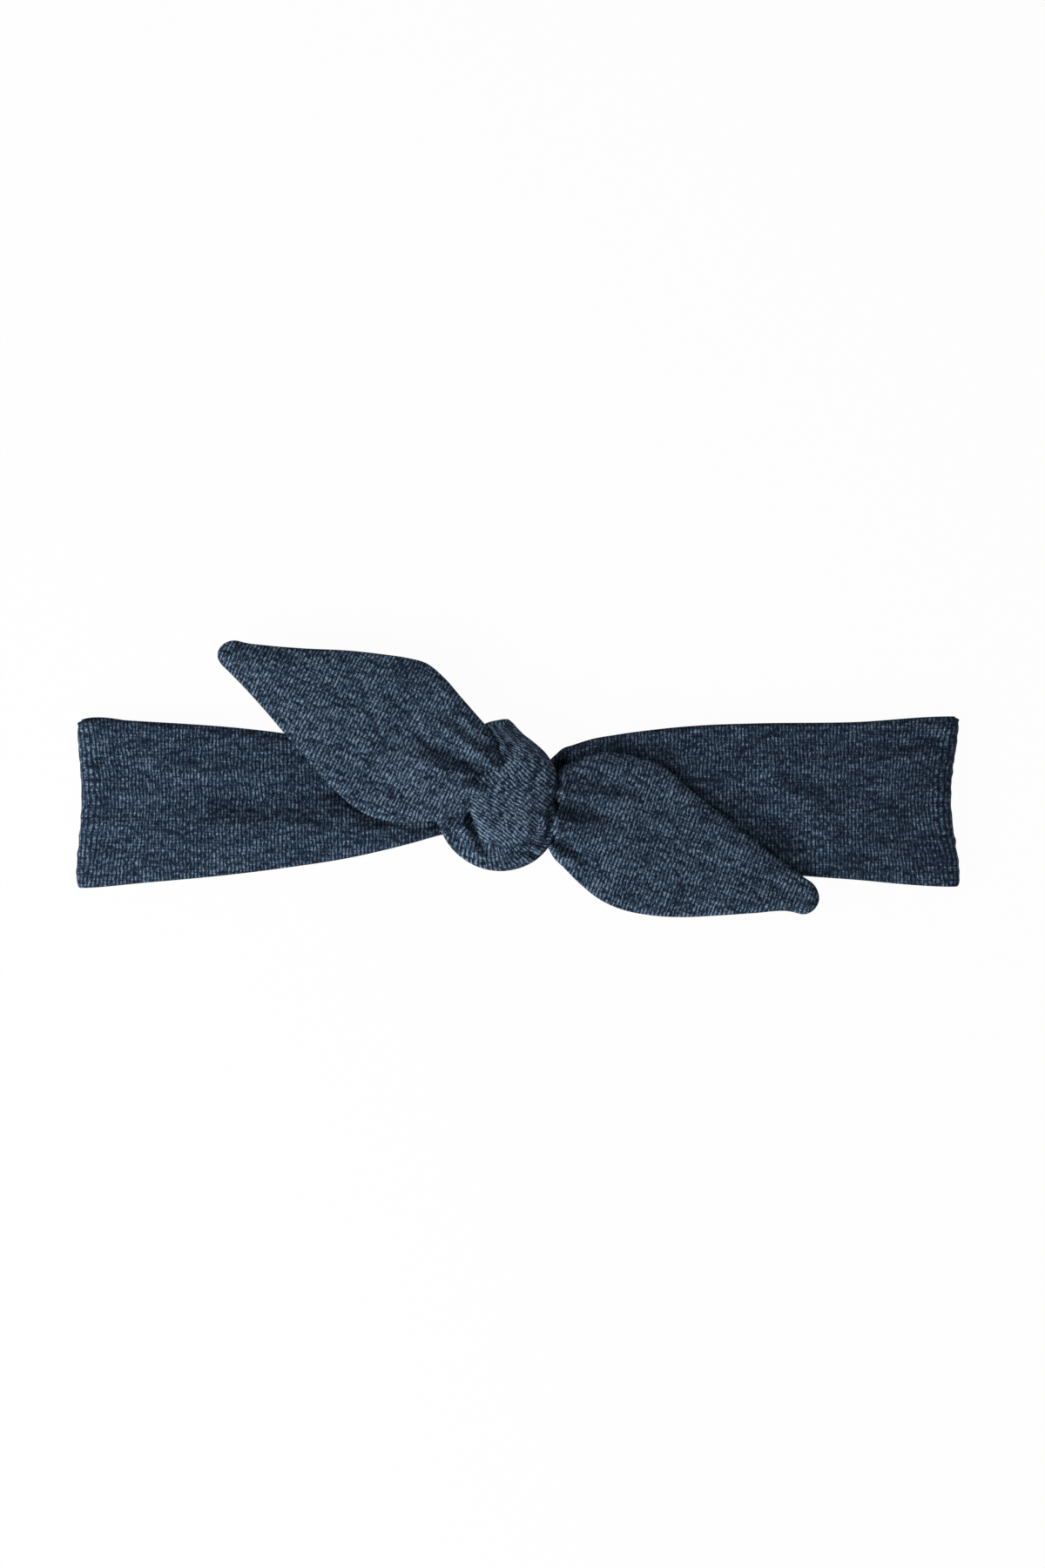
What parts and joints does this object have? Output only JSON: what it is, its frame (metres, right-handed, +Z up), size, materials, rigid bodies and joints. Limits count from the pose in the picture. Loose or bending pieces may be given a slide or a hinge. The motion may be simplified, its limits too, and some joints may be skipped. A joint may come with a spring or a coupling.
{
  "type": "knotted headband",
  "caption": "Soft jersey loop headband tied in front into a knot with leaf-shaped tails, gathered on elastic at the back.",
  "frame": {"origin": "underside of the back casing, in the middle of the band, under the knot", "axes": "+X from the left fold to the right fold as seen from the front, +Y across the band, +Z up out of the knot's face"},
  "size_m": [0.19, 0.0586, 0.0167],
  "materials": {
    "jersey": "heathered jersey, matt and slightly fuzzy",
    "jersey_lining": "heathered jersey, reverse side",
    "elastic": "woven elastic tape",
    "thread": "sewing thread"
  },
  "bodies": {
    "back_centre": {"back_casing_face": "jersey", "back_elastic": "elastic", "back_casing_lining": "jersey_lining"},
    "left_back_1": {"left_casing_face": "jersey", "left_elastic": "elastic", "left_casing_lining": "jersey_lining"},
    "left_back_2": {"left_back_face_2": "jersey", "left_back_lining_2": "jersey_lining", "left_gather_stitches": "thread"},
    "left_back_3": {"left_back_face_3": "jersey", "left_back_lining_3": "jersey_lining"},
    "left_leg_1": {"left_leg_face_1": "jersey", "left_leg_lining_1": "jersey_lining"},
    "left_leg_2": {"left_leg_face_2": "jersey", "left_leg_lining_2": "jersey_lining"},
    "left_leg_3": {"left_leg_face_3": "jersey", "left_leg_lining_3": "jersey_lining"},
    "right_back_1": {"right_casing_face": "jersey", "right_elastic": "elastic", "right_casing_lining": "jersey_lining"},
    "right_back_2": {"right_back_face_2": "jersey", "right_back_lining_2": "jersey_lining", "right_gather_stitches": "thread"},
    "right_back_3": {"right_back_face_3": "jersey", "right_back_lining_3": "jersey_lining"},
    "right_leg_1": {"right_leg_face_1": "jersey", "right_leg_lining_1": "jersey_lining"},
    "right_leg_2": {"right_leg_face_2": "jersey", "right_leg_lining_2": "jersey_lining"},
    "right_leg_3": {"right_leg_face_3": "jersey", "right_leg_lining_3": "jersey_lining"},
    "knot": {"knot_face_wrap": "jersey", "knot_left_strand": "jersey", "knot_right_strand": "jersey", "knot_core": "jersey"},
    "left_neck": {"left_tail_neck": "jersey"},
    "left_tail": {"left_tail_face": "jersey", "left_tail_lining": "jersey_lining"},
    "left_tip": {"left_tip_face": "jersey", "left_tip_lining": "jersey_lining"},
    "right_neck": {"right_tail_neck": "jersey"},
    "right_tail": {"right_tail_face": "jersey", "right_tail_lining": "jersey_lining"},
    "right_tip": {"right_tip_face": "jersey", "right_tip_lining": "jersey_lining"}
  },
  "joints": [
    {"name": "left_back_bend_1", "type": "hinge", "parent": "back_centre", "child": "left_back_1", "pos_m": [-0.012, 0, 0.0031], "axis": [0, 1, 0], "range_deg": [0, 25.72]},
    {"name": "left_back_bend_2", "type": "hinge", "parent": "left_back_1", "child": "left_back_2", "pos_m": [-0.03967, 0, 0.0031], "axis": [0, 1, 0], "range_deg": [0, 25.72]},
    {"name": "left_back_bend_3", "type": "hinge", "parent": "left_back_2", "child": "left_back_3", "pos_m": [-0.06733, 0, 0.0031], "axis": [0, 1, 0], "range_deg": [0, 25.72]},
    {"name": "loop_open", "type": "hinge", "parent": "left_back_3", "child": "left_leg_3", "pos_m": [-0.095, 0, 0.0033], "axis": [0, -1, 0], "range_deg": [0, 154.29]},
    {"name": "left_leg_bend_2", "type": "hinge", "parent": "left_leg_3", "child": "left_leg_2", "pos_m": [-0.06733, 0, 0.0035], "axis": [0, 1, 0], "range_deg": [0, 25.72]},
    {"name": "left_leg_bend_1", "type": "hinge", "parent": "left_leg_2", "child": "left_leg_1", "pos_m": [-0.03967, 0, 0.0035], "axis": [0, 1, 0], "range_deg": [0, 25.72]},
    {"name": "left_mouth_bend", "type": "hinge", "parent": "left_leg_1", "child": "knot", "pos_m": [-0.012, 0, 0.0035], "axis": [0, 1, 0], "range_deg": [0, 25.72]},
    {"name": "right_back_bend_1", "type": "hinge", "parent": "back_centre", "child": "right_back_1", "pos_m": [0.012, 0, 0.0031], "axis": [0, -1, 0], "range_deg": [0, 25.72]},
    {"name": "right_back_bend_2", "type": "hinge", "parent": "right_back_1", "child": "right_back_2", "pos_m": [0.03967, 0, 0.0031], "axis": [0, -1, 0], "range_deg": [0, 25.72]},
    {"name": "right_back_bend_3", "type": "hinge", "parent": "right_back_2", "child": "right_back_3", "pos_m": [0.06733, 0, 0.0031], "axis": [0, -1, 0], "range_deg": [0, 25.72]},
    {"name": "right_fold", "type": "hinge", "parent": "right_back_3", "child": "right_leg_3", "pos_m": [0.095, 0, 0.0033], "axis": [0, 1, 0], "range_deg": [0, 154.3]},
    {"name": "right_leg_bend_2", "type": "hinge", "parent": "right_leg_3", "child": "right_leg_2", "pos_m": [0.06733, 0, 0.0035], "axis": [0, -1, 0], "range_deg": [0, 25.72]},
    {"name": "right_leg_bend_1", "type": "hinge", "parent": "right_leg_2", "child": "right_leg_1", "pos_m": [0.03967, 0, 0.0035], "axis": [0, -1, 0], "range_deg": [0, 25.72]},
    {"name": "left_tail_swing", "type": "hinge", "parent": "knot", "child": "left_neck", "pos_m": [-0.0069, 0.0055, 0.0084], "axis": [0, 0, 1], "range_deg": [-10, 10]},
    {"name": "left_tail_lift", "type": "hinge", "parent": "left_neck", "child": "left_tail", "pos_m": [-0.01463, 0.00922, 0.0105], "axis": [0.4337, 0.9011, 0], "range_deg": [0, 80]},
    {"name": "left_tip_curl", "type": "hinge", "parent": "left_tail", "child": "left_tip", "pos_m": [-0.03669, 0.01984, 0.00956], "axis": [0.4337, 0.9011, 0], "range_deg": [0, 45]},
    {"name": "right_tail_swing", "type": "hinge", "parent": "knot", "child": "right_neck", "pos_m": [0.0059, -0.0011, 0.0084], "axis": [0, 0, 1], "range_deg": [-10, 10]},
    {"name": "right_tail_lift", "type": "hinge", "parent": "right_neck", "child": "right_tail", "pos_m": [0.01398, -0.00393, 0.0105], "axis": [-0.3305, -0.9438, 0], "range_deg": [0, 80]},
    {"name": "right_tip_curl", "type": "hinge", "parent": "right_tail", "child": "right_tip", "pos_m": [0.03709, -0.01202, 0.00982], "axis": [-0.3305, -0.9438, 0], "range_deg": [0, 45]}
  ],
  "couplings": [
    {"joint": "left_back_bend_1", "follows": "loop_open", "ratio": 0.16667},
    {"joint": "left_back_bend_2", "follows": "loop_open", "ratio": 0.16667},
    {"joint": "left_back_bend_3", "follows": "loop_open", "ratio": 0.16667},
    {"joint": "left_leg_bend_2", "follows": "loop_open", "ratio": 0.16667},
    {"joint": "left_leg_bend_1", "follows": "loop_open", "ratio": 0.16667},
    {"joint": "left_mouth_bend", "follows": "loop_open", "ratio": 0.16667},
    {"joint": "right_back_bend_1", "follows": "loop_open", "ratio": 0.16667},
    {"joint": "right_back_bend_2", "follows": "loop_open", "ratio": 0.16667},
    {"joint": "right_back_bend_3", "follows": "loop_open", "ratio": 0.16667},
    {"joint": "right_fold", "follows": "loop_open", "ratio": 1},
    {"joint": "right_leg_bend_2", "follows": "loop_open", "ratio": 0.16667},
    {"joint": "right_leg_bend_1", "follows": "loop_open", "ratio": 0.16667}
  ]
}
